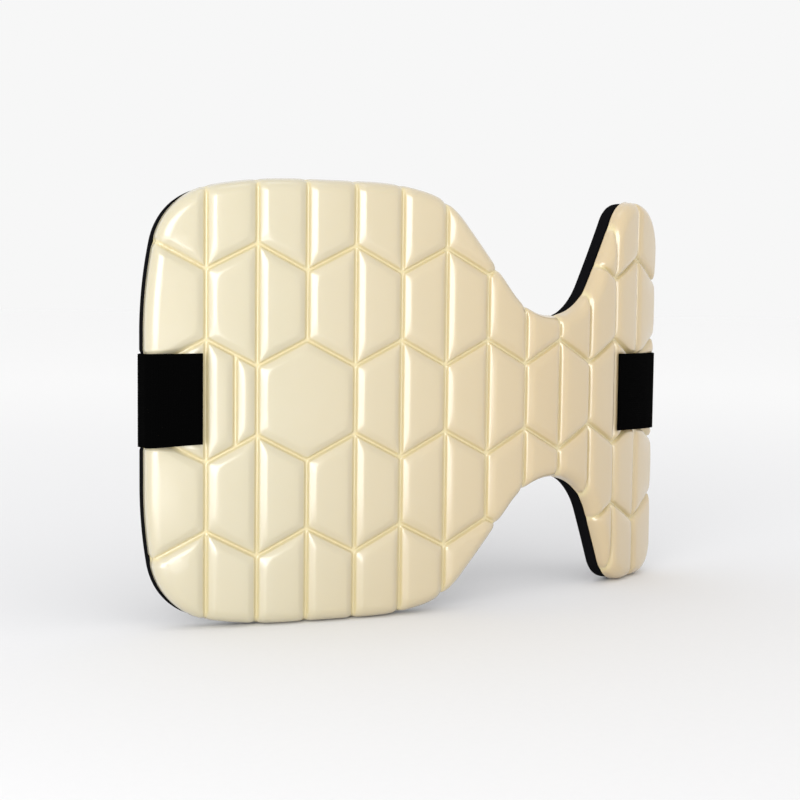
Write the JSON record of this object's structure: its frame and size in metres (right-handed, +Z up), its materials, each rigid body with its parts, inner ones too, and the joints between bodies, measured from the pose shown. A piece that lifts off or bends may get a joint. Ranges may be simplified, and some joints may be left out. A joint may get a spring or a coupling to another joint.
{
  "type": "chest guard",
  "caption": "Curved foam chest guard with a broad lobe, a narrow neck and a flared tail, a facing of raised split hexagons, a padded backing and an elastic strap round both ends.",
  "frame": {"origin": "middle of the bounding box's base, on the surface that the guard stands on", "axes": "+Z up, X along the guard from the broad lobe (-X) to the tail (+X), -Y out of the moulded facing"},
  "size_m": [0.3754, 0.0614, 0.2566],
  "materials": {
    "facing": "cream, pearly soft-gloss skin on dense moulded foam, yellower in the grooves",
    "backing": "dull black brushed fabric over soft foam",
    "strap": "black woven elastic with fine ribs along its length"
  },
  "bodies": {
    "root": {"moulded_facing": "facing", "padded_backing": "backing", "elastic_strap": "strap"}
  },
  "joints": []
}
